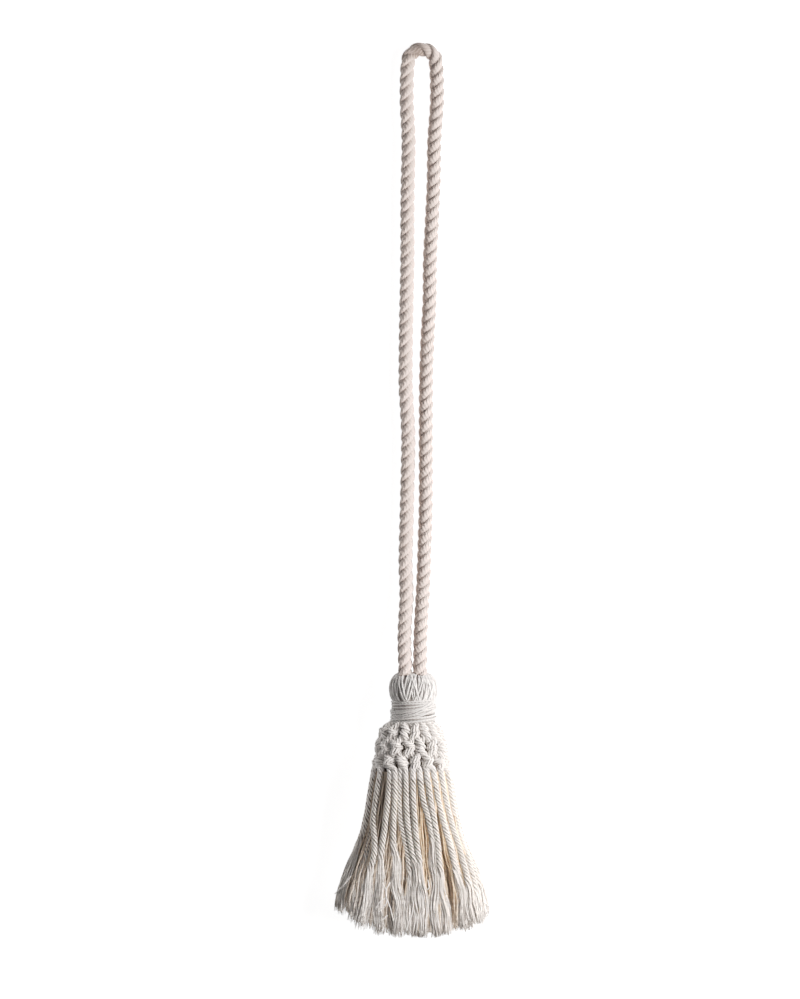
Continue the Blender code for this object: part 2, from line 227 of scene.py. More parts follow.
YARN_ROUND_SHADE = np.array([1, 1, 0.5, 0.9])  # share of it at the four points round a yarn


def even_line(route, spacing):
    """Evenly spaced points on the Catmull-Rom curve through a route.

    Between points b and c, with neighbours a and d, the curve is half of
    2b + (c - a)t + (2a - 5b + 4c - d)t^2 + (3b - a - 3c + d)t^3.
    """
    padded = np.vstack([2 * route[0] - route[1], route, 2 * route[-1] - route[-2]])
    a, b, c, d = (padded[i:len(padded) - 3 + i, None] for i in range(4))
    t = np.linspace(0, 1, 24, endpoint=False)[None, :, None]
    curve = (2 * b + (c - a) * t + (2 * a - 5 * b + 4 * c - d) * t**2 + (3 * b - a - 3 * c + d) * t**3) / 2
    curve = np.vstack([curve.reshape(-1, 3), route[-1]])
    walked = np.concatenate([[0], np.cumsum(np.linalg.norm(np.diff(curve, axis=0), axis=1))])
    at = np.linspace(0, walked[-1], round(walked[-1] / spacing) + 1)
    return np.column_stack([np.interp(at, walked, column) for column in curve.T])


def unit(vectors):
    return vectors / np.linalg.norm(vectors, axis=-1, keepdims=True)


def frames(lines, outward):
    """Two directions square to each line at its points: across it, and as near to outward as can be."""
    along = unit(np.gradient(lines, axis=-2))
    across = unit(np.cross(along, outward))
    return across, np.cross(across, along)


def walked_along(lines):
    """Distance along each line from its first point."""
    steps = np.linalg.norm(np.diff(lines, axis=-2), axis=-1)
    return np.concatenate([np.zeros_like(steps[..., :1]), np.cumsum(steps, axis=-1)], axis=-1)


def swept(lines, outward, section_across, section_outward):
    """Skins of tubes: each line's point plus the section's two coordinates times the line's two directions.

    lines are [..., ring, 3] and the section's coordinates [..., ring, side].
    """
    across, out = frames(lines, outward)
    return (lines[..., None, :] + section_across[..., None] * across[..., None, :]
            + section_outward[..., None] * out[..., None, :])


def tube_piece(name, skins, finish, slot, nodes, **attributes):
    """One piece of many closed tubes. Its UV map goes once round a tube in u, and along it in metres in v.

    skins is a list of arrays [tube, ring, side, 3], and each attribute a list of arrays [tube, ring], or
    [tube, ring, side].
    """
    points, faces, uvs, ends = [], [], [], []
    first = 0
    for skin in skins:
        tubes, rings, sides, _ = skin.shape
        index = first + np.arange(tubes * rings * sides).reshape(tubes, rings, sides)
        after = np.roll(index, -1, axis=2)
        quads = np.stack([index[:, :-1], index[:, 1:], after[:, 1:], after[:, :-1]], axis=-1)
        v = np.broadcast_to(walked_along(skin.mean(axis=2))[..., None], index.shape)
        u = np.broadcast_to(np.arange(sides) / sides, quads.shape[:-1])
        corner_u = np.stack([u, u, u + 1 / sides, u + 1 / sides], axis=-1)
        corner_v = np.stack([v[:, :-1], v[:, 1:], v[:, 1:], v[:, :-1]], axis=-1)
        points.append(skin.reshape(-1, 3))
        faces.append(quads.reshape(-1, 4))
        uvs.append(np.stack([corner_u, corner_v], axis=-1).reshape(-1, 2))
        ends += [index[:, 0], index[:, -1, ::-1]]
        first += index.size
    faces = np.vstack(faces)
    corners = np.concatenate([faces.ravel()] + [end.ravel() for end in ends])
    sizes = np.concatenate([np.full(len(faces), 4)] + [np.full(len(end), end.shape[1]) for end in ends])
    mesh = bpy.data.meshes.new(name)
    points = np.vstack(points)
    mesh.vertices.add(len(points))
    mesh.vertices.foreach_set("co", points.ravel())
    mesh.loops.add(len(corners))
    mesh.loops.foreach_set("vertex_index", corners)
    mesh.polygons.add(len(sizes))
    mesh.polygons.foreach_set("loop_start", np.cumsum(sizes) - sizes)
    mesh.polygons.foreach_set("use_smooth", np.ones(len(sizes), bool))
    mesh.update(calc_edges=True)
    uvs = np.vstack(uvs)
    uvs = np.vstack([uvs, np.zeros((len(corners) - len(uvs), 2))])
    mesh.uv_layers.new(name="yarn").uv.foreach_set("vector", uvs.ravel())
    for attribute, values in attributes.items():
        spread = [np.broadcast_to(value if value.ndim == 3 else value[..., None], skin.shape[:3]).ravel()
                  for value, skin in zip(values, skins)]
        layer = mesh.attributes.new(attribute, "FLOAT", "POINT")
        layer.data.foreach_set("value", np.concatenate(spread).astype(np.float32))
    mesh.materials.append(finish)
    piece = bpy.data.objects.new(name, mesh)
    bpy.context.scene.collection.objects.link(piece)
    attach(piece, "root")
    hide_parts(*nodes)
    return piece


def cotton(name, pale, shaded, warm, seam, plies, ply_pitch, ply_height, fibre_height):
    """Cotton yarn: plies that wind round it, fine fibres along it and a colour that changes with the yarn.

    The ply height is sin(2 pi (plies u + v / pitch)), and the fibres are a noise on a cylinder round the
    yarn, (2.2 cos 2 pi u, 2.2 sin 2 pi u, 420 v). The attribute shade, -1 to 1, makes a yarn darker or paler.
    groove, 0 to 1, is painted shade in a seam or gap. deep, 0 to 1, paints warm bounced light on inner yarn.
    """
    material, start = new_finish(name)
    uv = start.node("ShaderNodeUVMap", {"uv_map": "yarn"}, {})
    u = start.node("ShaderNodeSeparateXYZ", {}, {0: uv}, output="X")
    v = start.node("ShaderNodeSeparateXYZ", {}, {0: uv}, output="Y")
    shade = start.node("ShaderNodeAttribute", {"attribute_name": "shade"}, {}, output="Fac")
    deep = start.node("ShaderNodeAttribute", {"attribute_name": "deep"}, {}, output="Fac")
    groove = start.node("ShaderNodeAttribute", {"attribute_name": "groove"}, {}, output="Fac")
    place = start.node("ShaderNodeTexCoord", {}, {}, output="Object")
    turn = u * (2 * math.pi)
    ply = (turn * plies + v * (2 * math.pi / ply_pitch)).sine()
    round_yarn = start.node("ShaderNodeCombineXYZ", {}, {
        0: turn.cosine() * 2.2, 1: turn.sine() * 2.2, 2: v * 420.0,
    })
    fibres = start.node("ShaderNodeTexNoise", {}, {"Vector": round_yarn, "Scale": 1.6, "Detail": 3.0})
    patches = start.node("ShaderNodeTexNoise", {}, {"Vector": place, "Scale": 55.0, "Detail": 2.0})
    tone = patches * 0.5 + fibres * 0.5 - shade * 0.22
    tone = tone.node("ShaderNodeMapRange", {}, {0: tone, 1: 0.36, 2: 0.78, 3: 0.0, 4: 1.0})
    colour = tone.mixed((*pale, 1), (*shaded, 1))
    colour = groove.mixed(deep.mixed(colour, (*warm, 1)), (*seam, 1))
    height = ply * (ply_height / 2) + fibres * fibre_height
    bump = start.node("ShaderNodeBump", {}, {"Strength": 1.0, "Distance": 1.0, "Height": height})
    coat_with(material, start.node("ShaderNodeBsdfPrincipled", {}, {
        "Base Color": colour, "Roughness": fibres * 0.15 + 0.8, "Specular IOR Level": 0.25,
        "Sheen Weight": 0.25, "Sheen Roughness": 0.5, "Normal": bump,
    }))
    return material


into_head = np.array([0, -ROPE_INTO_HEAD, ROPE_END_RISE])
rope_route = np.vstack([ROPE_ROUTE[0] + into_head, ROPE_ROUTE, ROPE_ROUTE[-1] + into_head])
rope_line = even_line(rope_route, ROPE_RING_SPACING)
rope_walked = walked_along(rope_line)
lay_turn = ROPE_FIRST_TURN - 2 * math.pi * rope_walked / ROPE_LAY
strand_turn = lay_turn[None, :, None] + 2 * math.pi * np.arange(3)[:, None, None] / 3
side = np.arange(4 * STRAND_YARNS)
yarn_turn = 2 * math.pi * side / len(side) - lay_turn[None, :, None] * STRAND_OFFSET / STRAND_RADIUS
strand_radius = STRAND_RADIUS * (1 - STRAND_VALLEY * (side % 4 == 0))
strand_across = STRAND_OFFSET * np.cos(strand_turn) + strand_radius * np.cos(yarn_turn)
strand_out = STRAND_OFFSET * np.sin(strand_turn) + strand_radius * np.sin(yarn_turn)
from_middle = np.hypot(strand_across, strand_out)
pressed = from_middle - (1 - PRESSED_SHARE) * np.maximum(from_middle - PRESSED_FROM, 0) + (
    1 - FILLED_SHARE) * np.maximum(FILLED_FROM - from_middle, 0)
leaning = np.arctan2(strand_out, strand_across) - STRAND_LEAN * np.clip(
    (from_middle - FILLED_FROM) / (STRAND_OFFSET + STRAND_RADIUS - FILLED_FROM), 0, 1)
rope_skin = swept(np.broadcast_to(rope_line, (3, *rope_line.shape)), np.array([0.0, 0.0, 1.0]),
                  pressed * np.cos(leaning), pressed * np.sin(leaning))
rope_cotton = cotton(
    "rope_cotton", pale=(0.635, 0.535, 0.495), shaded=(0.545, 0.455, 0.41), warm=(0.50, 0.36, 0.26),
    seam=(0.22, 0.17, 0.145), plies=STRAND_YARNS, ply_pitch=0.05, ply_height=0.00006, fibre_height=0.00022)
rope_shade = np.broadcast_to(rng.uniform(-0.3, 0.3, (3, 1)), rope_skin.shape[:2])
bend = rope_walked[np.argmax(rope_line[:, 1])] - OPEN_BEFORE_TOP
bend_patch = np.exp(-((rope_walked - bend) / OPEN_BEND)**2)[None, :, None] * YARN_ROUND_SHADE[side % 4]
from_line = rope_skin - rope_line[:, None]
# Painted shade: seams darkest on the shaded left side, lines between yarns, and a patch at the loop's top.
rope_seam_shade = np.interp(from_line[..., 0], (-0.003, 0.003), (SHADED_SEAM_SHADE, LIT_SEAM_SHADE))
open_shade = OPEN_BEND_SHADE + np.interp(from_line[..., 1], (-0.002, 0.002), (INNER_BEND_SHADE, 0))
rope_groove = np.maximum(rope_seam_shade * np.interp(from_middle, (SEAM_FULL, SEAM_FROM), (1, 0)),
                         YARN_SEAM_SHADE * (side % 4 == 0) + open_shade * bend_patch)
rope = tube_piece("rope_loop_cord", [rope_skin], rope_cotton, "rope_cotton", ["rope_loop"],
                  shade=[rope_shade], deep=[0 * rope_shade], groove=[rope_groove])


# The head: strings of the bundle that come out from between the two ends of the rope, turn over a round dome
# and run down into the whipping. A first layer lies side by side, and loose ones cross it in long narrow
# crosses.

AXIS_HEIGHT = 0.0155
HEAD_SIDEWAYS = 0.0012
STRING_RADIUS = 0.00060
STRING_RINGS = 34
NEAR_STRINGS, OVER_STRINGS = 72, 44
HEAD_LINE = np.array([  # y, half width and half height of the dome through the strings' middles
    (868, 82, 36),
    (866, 98, 52),
    (857, 114, 74),
    (845, 127, 100),
    (826, 140, 126),
    (802, 151, 144),
    (774, 156, 149),
    (744, 155, 148),
    (716, 151, 146),
    (697, 145, 142),
    (680, 136, 136),
    (660, 132, 131),
]) / TENTHS
DOME_SIDES = 40
DOME_DEPTH, DOME_DROP = 0.0005, 0.0006  # in and down, from the strings' middles to the skin between them
# painted shade in the gaps between strings, and on the dark skin under them
STRING_GAP_SHADE, DOME_SHADE = 0.55, 0.65


def dome_strings(count, lift, lean):
    """Strings over the dome: at turn w, (half width cos w, y, half height sin w), where w drifts by lean.

    Turns spread evenly as t are drawn together on the right: w = t - 0.4 sin t.
    """
    depth = np.linspace(0, 1, STRING_RINGS)
    y, half_width, half_height = (np.interp(depth * (len(HEAD_LINE) - 1), np.arange(len(HEAD_LINE)), column)
                                  for column in HEAD_LINE.T)
    turn = 2 * math.pi * (np.arange(count) + rng.uniform(-0.2, 0.2, count)) / count
    turn = (turn - 0.4 * np.sin(turn))[:, None] + lean[:, None] * (depth - 0.6)
    x = HEAD_SIDEWAYS + (half_width + lift[:, None]) * np.cos(turn)
    z = AXIS_HEIGHT + (half_height + lift[:, None]) * np.sin(turn)
    lines = np.stack([x, np.broadcast_to(y, x.shape), z], axis=-1)
    outward = np.stack([np.cos(turn), np.full_like(x, 0.35), np.sin(turn)], axis=-1)
    return lines, outward


def round_section(shape, radius, sides):
    """Round sections, (r cos a, r sin a) across and outward. The radius is one number or [tube, ring]."""
    angle = 2 * math.pi * np.arange(sides) / sides
    radius = np.broadcast_to(np.asarray(radius, float), shape)[..., None]
    return radius * np.cos(angle), radius * np.sin(angle)


def above_table(lines, radius):
    lines[..., 2] = np.maximum(lines[..., 2], radius)
    return lines


def eased(low, high, value):
    """0 at low, 1 at high, smooth between: 3t^2 - 2t^3."""
    t = np.clip((value - low) / (high - low), 0, 1)
    return t * t * (3 - 2 * t)


def shade_kept_left(skin, edge, kept, start=0.0):
    """Share of painted shade kept: 1 left of start, on the shaded side, falling to kept at the lit edge."""
    return 1 - (1 - kept) * eased(start, edge, skin[..., 0])


near, near_out = dome_strings(NEAR_STRINGS, rng.uniform(-0.0006, 0.0001, NEAR_STRINGS),
                              rng.uniform(-0.35, 0.35, NEAR_STRINGS))
over, over_out = dome_strings(OVER_STRINGS, rng.uniform(0.0002, 0.0006, OVER_STRINGS),
                              rng.choice([-1, 1], OVER_STRINGS) * rng.uniform(0.3, 0.9, OVER_STRINGS))
head_lines, head_out = np.vstack([near, over]), np.vstack([near_out, over_out])
head_radius = STRING_RADIUS * rng.uniform(0.75, 1.1, (len(head_lines), 1))
head_lines = above_table(head_lines, head_radius)
head_skin = swept(head_lines, head_out, *round_section(head_lines.shape[:2], head_radius, 8))
head_height = np.sum((head_skin - head_lines[:, :, None]) * unit(head_out)[:, :, None], axis=-1)
# Painted shade: dark gaps between the strings, and a dark warm dome skin under them, heavier on the left.
head_gap_shade = np.interp(head_height, (-0.00025, 0.00035), (STRING_GAP_SHADE, 0))
dome_y, dome_half_width, dome_half_height = HEAD_LINE.T[:, :, None]
dome_turn = 2 * math.pi * np.arange(DOME_SIDES) / DOME_SIDES
dome_x = HEAD_SIDEWAYS + (dome_half_width - DOME_DEPTH) * np.cos(dome_turn)
dome_z = AXIS_HEIGHT + (dome_half_height - DOME_DEPTH) * np.sin(dome_turn)
dome_skin = np.stack([dome_x, dome_y - DOME_DROP + 0 * dome_turn, dome_z], axis=-1)[None, :, ::-1]
dome_skin = above_table(dome_skin, 0)
string_cotton = cotton(
    "bundle_yarn", pale=(0.68, 0.655, 0.64), shaded=(0.54, 0.515, 0.50), warm=(0.36, 0.30, 0.26),
    seam=(0.10, 0.09, 0.082), plies=2, ply_pitch=0.0050, ply_height=0.00012, fibre_height=0.00008)
head_shade = rng.uniform(-1, 1, (len(head_lines), 1)) + np.zeros(head_lines.shape[:2])
tube_piece("head_strings", [head_skin, dome_skin], string_cotton, "bundle_yarn", ["yarn_bundle"],
           shade=[head_shade, np.zeros(dome_skin.shape[:2])],
           deep=[0 * head_shade, np.full(dome_skin.shape[:2], 0.3)],
           groove=[head_gap_shade * shade_kept_left(head_skin, edge=0.010, kept=0.4),
                   DOME_SHADE * shade_kept_left(dome_skin, edge=0.010, kept=0.5)])


# The whipping: eight and a half tight turns of a thin three-ply cord round the neck, over an under layer of
# the same cord. Six more turns cross them aslant in the lower half, rising to the right.

WHIPPING_CORD_RADIUS, UNDER_CORD_RADIUS = 0.00070, 0.00091
WHIPPING_RADIUS = 0.0152 - WHIPPING_CORD_RADIUS
WHIPPING_SIDEWAYS = 0.0014
PLY_PITCH = 0.0072
PLY_OFFSET, PLY_RADIUS = 0.00031, 0.00039
# painted shade in the seams between plies, where a turn sinks between others, and on the under cord
PLY_SEAM_SHADE, UNDER_CORD_SHADE = 0.2, 0.8
WINDINGS = [  # radius, turns, y of the first and of the last turn, slant, rings to a turn and first turn
    (WHIPPING_RADIUS, 8.5, 0.06922, 0.05308, 0.0014, 240, 3.6),
    (WHIPPING_RADIUS + 0.0006, 6, 0.0622, 0.0542, 0.0056, 240, 2.6),
    (WHIPPING_RADIUS - 0.0007, 8.5, 0.06852, 0.05364, 0.0014, 60, 1.0),
]


def wound(radius, turns, top, bottom, slant, rings_to_a_turn, first_turn):
    """A line wound round the neck, (radius cos w, y, radius sin w) at turn w.

    y falls evenly with the turn, plus slant sin(pi done) (1 + cos w)^2 / 2. Small sines of w make both waver,
    as in winding by hand.
    """
    done = np.linspace(0, 1, round(turns * rings_to_a_turn) + 1)
    turn = first_turn + 2 * math.pi * turns * done
    y = top + (bottom - top) * done + slant * np.sin(math.pi * done) * (1 + np.cos(turn))**2 / 2
    y += 0.00018 * np.sin(1.37 * turn) + 0.00012 * np.sin(3.61 * turn)
    radius = radius + 0.00015 * np.sin(2.23 * turn)
    outward = np.stack([np.cos(turn), 0 * turn, np.sin(turn)], axis=-1)
    axis = np.stack([WHIPPING_SIDEWAYS + 0 * turn, y, AXIS_HEIGHT + 0 * turn], axis=-1)
    return (axis + radius[:, None] * outward)[None], outward[None]


def plied_section(walked, pitch, plies, offset, radius, points_per_ply):
    """The outline of plies that touch: offset cos d + sqrt(radius^2 - (offset sin d)^2).

    d is the angle from the nearest ply. The third array, d^4 made 1 at its greatest, is the seam.
    """
    sides = plies * points_per_ply
    turn = 2 * math.pi * np.arange(sides) / sides
    off = (turn + math.pi / plies) % (2 * math.pi / plies) - math.pi / plies
    reach = offset * np.cos(off) + np.sqrt(np.maximum(radius**2 - (offset * np.sin(off))**2, 0))
    angle = turn + 2 * math.pi * walked[..., None] / pitch
    return reach * np.cos(angle), reach * np.sin(angle), 0 * angle + (off / off.min())**4


*plied_windings, (under_line, under_out) = (wound(*winding) for winding in WINDINGS)
whipping_skins, whipping_grooves = [], []
for line, out in plied_windings:
    *ply_section, ply_seam = plied_section(walked_along(line), -PLY_PITCH, 3, PLY_OFFSET, PLY_RADIUS, 4)
    skin = swept(above_table(line, WHIPPING_CORD_RADIUS), out, *ply_section)
    height = np.sum((skin - line[:, :, None]) * out[:, :, None], axis=-1)
    whipping_skins.append(skin)
    # Painted shade: in ply seams and low between turns, heavier on the left.
    turn_shade = np.clip(PLY_SEAM_SHADE * ply_seam + np.interp(height, (0, 0.0004), (1, 0)), 0, 1)
    whipping_grooves.append(turn_shade * shade_kept_left(skin, edge=0.011, kept=0.4))
under_skin = swept(above_table(under_line, UNDER_CORD_RADIUS), under_out,
                   *round_section(under_line.shape[:2], UNDER_CORD_RADIUS, 8))
whipping_cotton = cotton(
    "whipping_cord", pale=(0.63, 0.605, 0.59), shaded=(0.53, 0.505, 0.49), warm=(0.42, 0.37, 0.33),
    seam=(0.19, 0.17, 0.157), plies=3, ply_pitch=0.0056, ply_height=0.00004, fibre_height=0.00010)
plain = [0 * groove for groove in whipping_grooves]
# The under cord is painted darker and warmer, as shade under the turns.
tube_piece("neck_whipping_cord", [*whipping_skins, under_skin], whipping_cotton, "whipping_cord",
           ["neck_whipping"], shade=[*plain, np.full(under_skin.shape[:2], -0.5)],
           deep=[*plain, np.full(under_skin.shape[:2], 0.6)],
           groove=[*whipping_grooves, UNDER_CORD_SHADE * shade_kept_left(under_skin, edge=0.011, kept=0.5)])


# The knotted collar and the fringe: thirty cords of five yarns round a core, which come out under the
# whipping and are knotted two and two in three rows of fifteen knots, most of them with a wrap. Below, they
# hang straight and come unlaid, and their yarns spread into locks. Seven unknotted cords hang inside.

SKIRT = np.array([  # y, half width, half height and height of the middle of a flattened round section
    (-880, 536, 155, 155),
    (-700, 522, 157, 157),
    (-580, 500, 160, 160),
    (-450, 456, 166, 166),
    (-320, 396, 174, 174),
    (-185, 345, 183, 183),
    (-50, 316, 192, 192),
    (80, 296, 198, 198),
    (201, 275, 201, 201),
]) / TENTHS
COLLAR = np.array([  # columns as in SKIRT
    (201, 270, 211, 191),
    (280, 262, 208, 188),
    (360, 252, 202, 182),
    (430, 240, 195, 175),
    (490, 212, 182, 165),
    (530, 172, 168, 157),
    (560, 150, 150, 155),
]) / TENTHS
CORDS = 30  # 0 to 14 lie in front, from right to left
BEHIND = 15  # the first of those that lie behind
CORD_YARNS = 5
CORD_PITCH = 0.0135
YARN_RADIUS = 0.00067
YARN_OFFSET = 0.0015
CORD_RADIUS = YARN_OFFSET + YARN_RADIUS
COLLAR_CORE, FRINGE_CORE = 0.0014, 0.00125  # radius of a cord's core in the collar and below it
COLLAR_TOP = 0.0535
KNOT_ROWS, KNOTS_IN_A_ROW = 3, 15
ROW_HEIGHT = 0.0104
KNOT_FULLNESS = 1.02
KNOT_DEPTH = 0.0019  # how far a cord moves in and out as it passes the other
KNOTTED_FROM, KNOTTED_TO = 0.0553, 0.0165
WRAPPED_SHARE = 0.65  # of the knots
WRAP_YARN_RADIUS, WRAP_YARN_OFFSET, WRAP_CORE = 0.00064, 0.00128, 0.00110
WRAP_END_DEPTH, WRAP_RISE = 0.0020, 0.0030
# painted shade between the yarns of knots and of wraps
KNOT_SEAM_SHADE, WRAP_SEAM_SHADE = 0.36, 0.30
HANGS_FROM, HANGS_FREE = 0.0262, 0.0215  # between these heights a cord goes from its knot to its place below
FRINGE_TOP = 0.0168
HEM_Y, HEM_RISE = -0.088, 0.0195
NEAR_HEM = -0.080  # where a lock's x says how high its end is

TRACK_HEIGHTS = np.array([218, 50, -110, -271, -425, -653, -854]) / TENTHS
FRONT_TRACKS = np.array([  # x of the cords that lie in front, right to left, at these heights
    (241, 264, 298, 348, 393, 446, 464),
    (195, 221, 261, 311, 354, 398, 416),
    (147, 174, 211, 256, 294, 338, 364),
    (100, 124, 152, 176, 189, 214, 234),
    (53, 72, 116, 142, 150, 154, 156),
    (9, 9, 20, 35, 56, 78, 86),
    (-42, -38, -30, -7, 24, 36, 32),
    (-77, -87, -77, -44, -16, -10, -14),
    (-114, -114, -124, -124, -106, -88, -86),
    (-144, -157, -177, -200, -211, -214, -224),
    (-208, -234, -255, -247, -271, -312, -333),
]) / TENTHS
FIRST_TRACK = 2  # the cord that has the first of them
SIDE_LANES = {0: 0.004, 1: 0.030, 13: 0.468, 14: 0.492}  # share of the way round, from +X over the front
BACK_LANES = (0.518, 0.972)  # from the first of the cords behind to the last
TUCKED_CORD, TUCKED_BY = 9, 0.0012  # it hangs this much deeper than its neighbours
# Each inner cord hangs between one of these cords and the next, this much deeper. They are cords 30 to 36.
INNER_CORDS = {0: 0.0024, 1: 0.0024, 3: 0.0024, 5: 0.0024, 7: 0.0024, 10: 0.0050, 12: 0.0024}

# Where cords come unlaid, the others anywhere in the stretch, and half the width of their locks.
UNLAID_STRETCH = (-0.040, -0.020)
UNLAID_AT = {0: -0.042, 1: -0.048, 2: -0.052, 3: -0.047, 4: -0.038, 5: -0.036, 6: -0.017, 7: -0.033,
             8: -0.031, 9: -0.039, 10: -0.021, 11: -0.028, 12: -0.037, 13: -0.018, 14: -0.017,
             30: -0.046, 31: -0.050, 32: -0.043, 35: -0.026}
LOCK_HALF = (0.0040, 0.0052)
NARROW_LOCKS = {4: 0.0034, 5: 0.0034, 6: 0.0034, 7: 0.0034, 10: 0.0041, 11: 0.0041, 35: 0.0026}
LOCK_SWAY = 0.0009
LAID_RINGS = 0.76  # share of a yarn's rings that lie where its cord is laid


def section_at(table, y):
    """Half width, half height and height of the middle of a table's section at y."""
    return (np.interp(y, table[:, 0], column) for column in table[:, 1:].T)


def on_section(table, y, depth, share):
    """Points and outward directions at a share of the way round a section, from +X over the top.

    A section is two half circles joined by straight runs. The turn and the shift along the straight runs each
    grow by the part of the way walked that lies on their own stretches.
    """
    half_width, half_height, middle = section_at(table, y)
    straight, radius = half_width - half_height, half_height - depth
    quarter = math.pi / 2 * radius
    walked = share % 1 * (4 * straight + 4 * quarter)
    turn = (np.clip(walked, 0, quarter) + np.clip(walked - quarter - 2 * straight, 0, 2 * quarter)
            + np.clip(walked - 3 * quarter - 4 * straight, 0, quarter)) / radius
    shift = straight - np.clip(walked - quarter, 0, 2 * straight) + np.clip(
        walked - 3 * quarter - 2 * straight, 0, 2 * straight)
    outward = np.stack([np.cos(turn), 0 * turn, np.sin(turn)], axis=-1)
    points = np.stack([shift + radius * np.cos(turn), y + 0 * turn, middle + radius * np.sin(turn)], axis=-1)
    return points, outward


def way_round(table, y, depth):
    half_width, half_height, _ = section_at(table, y)
    return 4 * (half_width - half_height) + 2 * math.pi * (half_height - depth)


def share_of_x(table, y, depth, x):
    """The share of the way round at which the upper side of a section has this x."""
    half_width, half_height, _ = section_at(table, y)
    straight, radius = half_width - half_height, half_height - depth
    turn = np.arccos(np.clip((x - np.clip(x, -straight, straight)) / radius, -1, 1))
    return (radius * turn + straight - np.clip(x, -straight, straight)) / way_round(table, y, depth)


LINE_STEP = 0.00025
line_heights = np.arange(0.0556, -0.0925, -LINE_STEP)


def hanging_at(shares):
    """A cord's share of the way round at every line height, on a smooth curve through its shares."""
    track = even_line(np.column_stack([TRACK_HEIGHTS, shares, 0 * shares]), 0.001)
    return np.interp(-line_heights, -track[:, 0], track[:, 1])


cord_depth = CORD_RADIUS + rng.uniform(0, 0.0005, CORDS)
cord_depth[TUCKED_CORD] += TUCKED_BY
hang_share = np.empty((CORDS, len(TRACK_HEIGHTS)))
hang_share[BEHIND:] = np.linspace(*BACK_LANES, CORDS - BEHIND)[:, None]
hang_share[BEHIND:] += rng.uniform(-0.004, 0.004, (CORDS - BEHIND, len(TRACK_HEIGHTS)))
for cord, share in SIDE_LANES.items():
    hang_share[cord] = share
hang_share[FIRST_TRACK:][:len(FRONT_TRACKS)] = share_of_x(SKIRT, TRACK_HEIGHTS, CORD_RADIUS, FRONT_TRACKS)

cord_number = np.arange(CORDS)[:, None]
down = np.clip((COLLAR_TOP - line_heights) / ROW_HEIGHT, 0, KNOT_ROWS - 0.0001)
row = np.floor(down).astype(int)
in_row = down - row
in_row = in_row - 0.3 * np.sin(2 * math.pi * in_row) / (2 * math.pi)
shifted = row % 2
pair = (cord_number + shifted) // 2
pair_share = (2 * pair + 1 - shifted) / CORDS
knot_side = np.where((cord_number + 0.5) / CORDS > pair_share, 1, -1)
knots = (KNOT_ROWS, KNOTS_IN_A_ROW)
knot = (row, pair % KNOTS_IN_A_ROW)
rng = np.random.default_rng(5)  # drawn afresh from here on, for these knots and all that hangs below them
knot_push = rng.uniform(-0.0013, 0.0013, knots)[knot] * np.sin(math.pi * in_row)
knot_bulge = rng.uniform(0.75, 1.2, knots)[knot]
knot_hand = np.where(rng.uniform(0, 1, knots) < 0.45, -1, 1)[knot]
in_row = in_row + rng.uniform(-0.12, 0.12, knots)[knot] * np.sin(math.pi * in_row)**2
collar_round = way_round(COLLAR, line_heights, CORD_RADIUS + KNOT_DEPTH)
swing = 0.5 / CORDS * knot_side * np.cos(2 * math.pi * in_row) * (1 - 0.15 * np.sin(math.pi * in_row)**2)
collar_share = pair_share + swing + knot_push / collar_round
crossing = knot_side * knot_hand * knot_bulge * np.sin(2 * math.pi * in_row)
collar_depth = CORD_RADIUS + KNOT_DEPTH * (1 - crossing)
collar_line, collar_out = on_section(COLLAR, line_heights + 0 * cord_number, collar_depth, collar_share)
hanging_share = np.array([hanging_at(shares) for shares in hang_share])
hang_line, hang_out = on_section(SKIRT, line_heights + 0 * cord_number, cord_depth[:, None], hanging_share)
hanging = eased(HANGS_FROM, HANGS_FREE, line_heights)[:, None]
between = np.array(list(INNER_CORDS))
inner_depth = np.array(list(INNER_CORDS.values()))[:, None]
inner_line, inner_out = on_section(SKIRT, line_heights + 0 * between[:, None], CORD_RADIUS + inner_depth,
                                   (hanging_share[between] + hanging_share[between + 1]) / 2)
cord_line = np.concatenate([collar_line * (1 - hanging) + hang_line * hanging, inner_line])
cord_line[..., 2] = np.maximum(cord_line[..., 2], KNOT_FULLNESS * CORD_RADIUS)
cord_out = np.concatenate([collar_out * (1 - hanging) + hang_out * hanging, inner_out])
ALL_CORDS = len(cord_line)
cord_across, cord_outward = frames(cord_line, cord_out)
cord_walked = walked_along(cord_line)

unlaid_at = np.array([[UNLAID_AT.get(cord, rng.uniform(*UNLAID_STRETCH))] for cord in range(ALL_CORDS)])
still_laid = 1 - eased(unlaid_at + 0.002, unlaid_at - 0.014, line_heights)
steps = np.diff(cord_walked, axis=1, prepend=0)
cord_turn = np.cumsum(2 * math.pi / CORD_PITCH * still_laid * steps, axis=1)
spread = eased(unlaid_at + 0.004, np.minimum(unlaid_at - 0.030, -0.050), line_heights)


def read_along(values, cords, heights):
    """Values kept down each cord [cord, place, ...], read at other heights, straight between places."""
    place = np.clip((line_heights[0] - heights) / LINE_STEP, 0, len(line_heights) - 1.001)
    low = place.astype(int)
    part = place - low
    if values.ndim == 3:
        part = part[..., None]
    return values[cords, low] * (1 - part) + values[cords, low + 1] * part


def hem_at(x):
    """The hem's arc. It rises as (-x / 0.050)^2.5 to the left, and as (x / 0.0525)^4 to the right."""
    return HEM_Y + HEM_RISE * np.where(x < 0, np.clip(-x / 0.050, 0, 1)**2.5, np.clip(x / 0.0525, 0, 1)**4)


